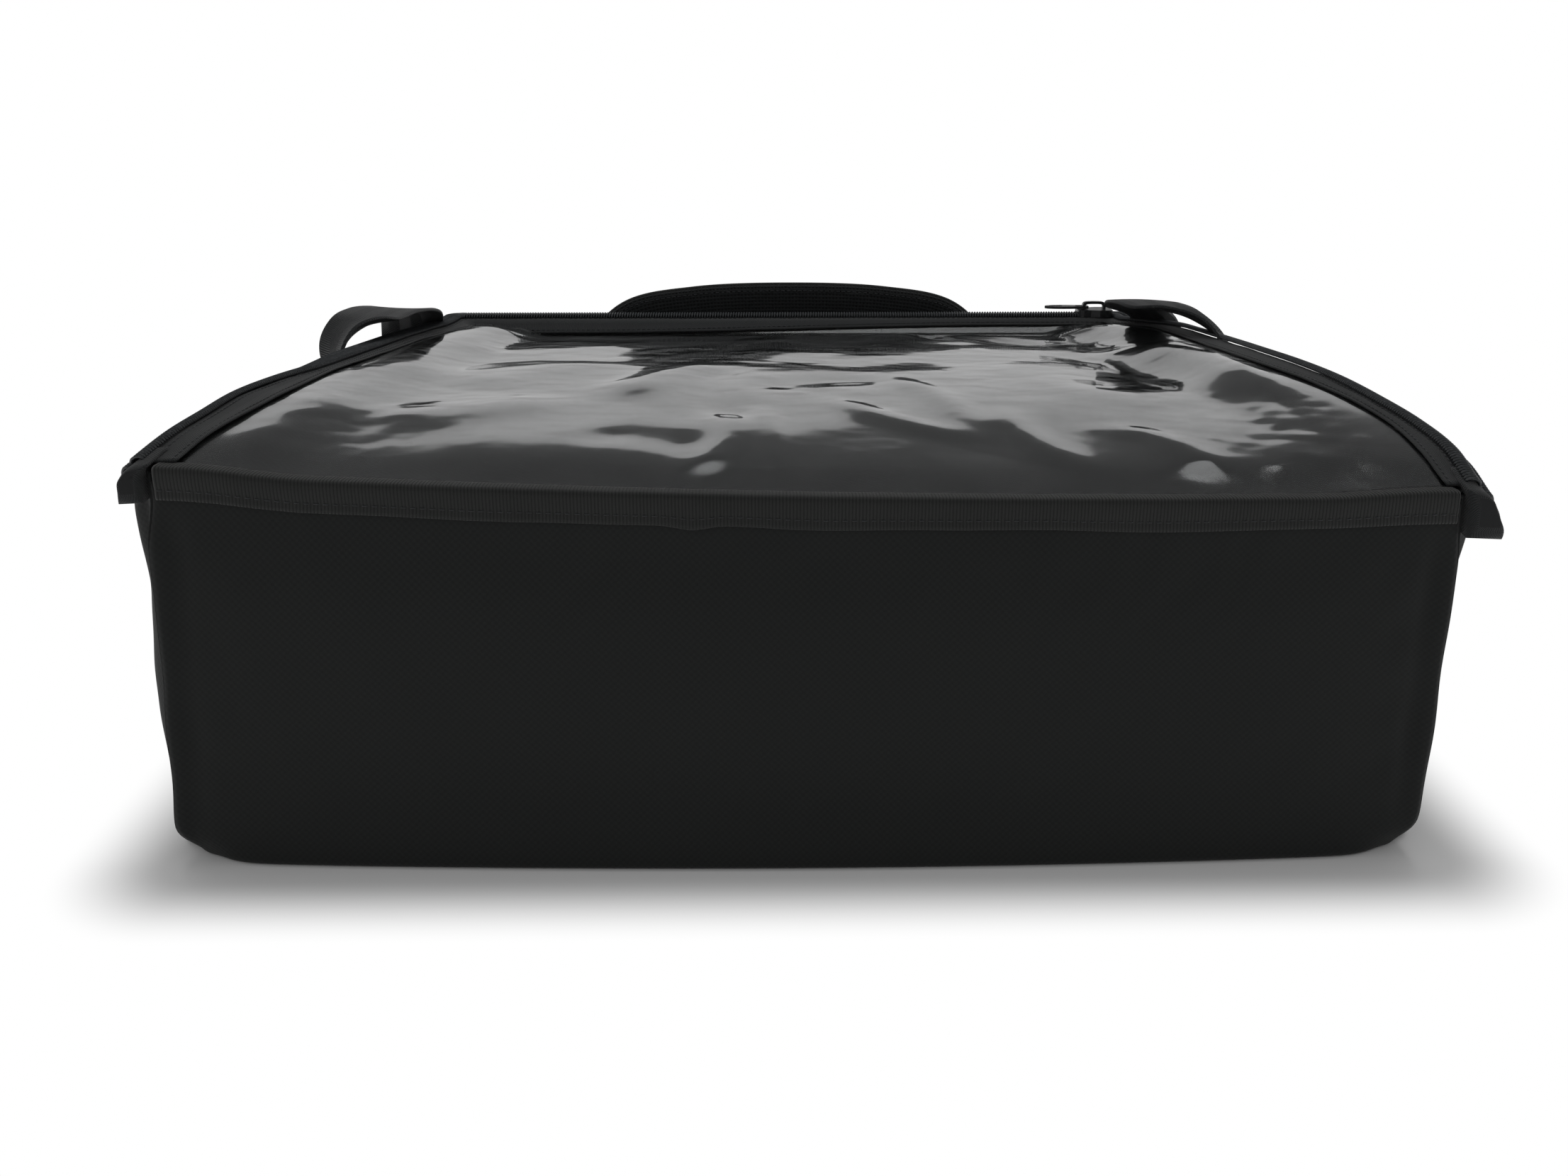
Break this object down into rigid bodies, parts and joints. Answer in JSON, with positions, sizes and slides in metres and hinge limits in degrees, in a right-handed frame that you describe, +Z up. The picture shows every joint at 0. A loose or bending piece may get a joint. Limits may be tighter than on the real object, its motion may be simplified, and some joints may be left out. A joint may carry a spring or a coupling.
{
  "type": "insulated delivery bag",
  "caption": "Low square insulated food bag with a clear-covered padded lid zipped round three sides, webbing side loops and a padded front handle.",
  "frame": {"origin": "middle of the flat underside", "axes": "+X along the hinge seam towards the end of the zip where its slider rests, +Y from the hinge wall to the wall with the handle, +Z up"},
  "size_m": [0.5008, 0.4757, 0.1761],
  "materials": {
    "woven_polyester": "coarse woven polyester, black",
    "foam": "closed-cell foam board",
    "foil_lining": "metallised film",
    "clear_sheet": "glossy clear soft sheet",
    "zip_tape": "herringbone woven tape",
    "zip_coil": "black coil",
    "grosgrain": "ribbed binding",
    "webbing": "ribbed webbing",
    "padded_mesh": "padded woven sleeve",
    "painted_zinc": "black painted die casting"
  },
  "bodies": {
    "bag": {"base_panel": "woven_polyester", "rear_panel": "woven_polyester", "front_panel": "woven_polyester", "left_panel": "woven_polyester", "right_panel": "woven_polyester", "base_board": "foam", "rear_board": "foam", "front_board": "foam", "left_board": "foam", "right_board": "foam", "lining_tub": "foil_lining", "rim_tape": "zip_tape", "rim_coil": "zip_coil", "hinge_binding": "grosgrain", "left_corner_tab": "zip_tape", "right_corner_tab": "zip_tape", "left_loop_rear_tail": "webbing", "left_loop_front_tail": "webbing", "right_loop_rear_tail": "webbing", "right_loop_front_tail": "webbing", "handle_left_tail": "webbing", "handle_right_tail": "webbing"},
    "lid": {"clear_window": "clear_sheet", "lid_panel": "woven_polyester", "lid_board": "foam", "lid_lining": "foil_lining", "lid_tape": "zip_tape", "lid_coil": "zip_coil"},
    "slider": {"slider_body": "painted_zinc"},
    "pull": {"pull_tab": "painted_zinc"},
    "left_side_loop": {"left_loop": "webbing"},
    "right_side_loop": {"right_loop": "webbing"},
    "handle": {"handle_strap": "webbing", "handle_pad": "padded_mesh"}
  },
  "joints": [
    {"name": "lid_hinge", "type": "hinge", "parent": "bag", "child": "lid", "pos_m": [0, -0.2285, 0.1389], "axis": [1, 0, 0], "range_deg": [0, 180], "deforming": ["hinge_binding", "lid_coil", "lid_tape"]},
    {"name": "slider_slide", "type": "slide", "parent": "bag", "child": "slider", "axis": [-1, 0, 0], "range_m": [0, 0.396], "deforming": ["rim_coil"]},
    {"name": "pull_tab_hinge", "type": "hinge", "parent": "slider", "child": "pull", "pos_m": [0.1933, 0.2165, 0.14915], "axis": [0, 1, 0], "range_deg": [0, 130]},
    {"name": "left_loop_hinge", "type": "hinge", "parent": "bag", "child": "left_side_loop", "pos_m": [-0.23763, 0.1, 0.11815], "axis": [0, -1, 0], "range_deg": [0, 120]},
    {"name": "right_loop_hinge", "type": "hinge", "parent": "bag", "child": "right_side_loop", "pos_m": [0.23386, 0.12, 0.11815], "axis": [0, 1, 0], "range_deg": [0, 120]},
    {"name": "handle_hinge", "type": "hinge", "parent": "bag", "child": "handle", "pos_m": [0, 0.23475, 0.09015], "axis": [-1, 0, 0], "range_deg": [0, 135]}
  ]
}
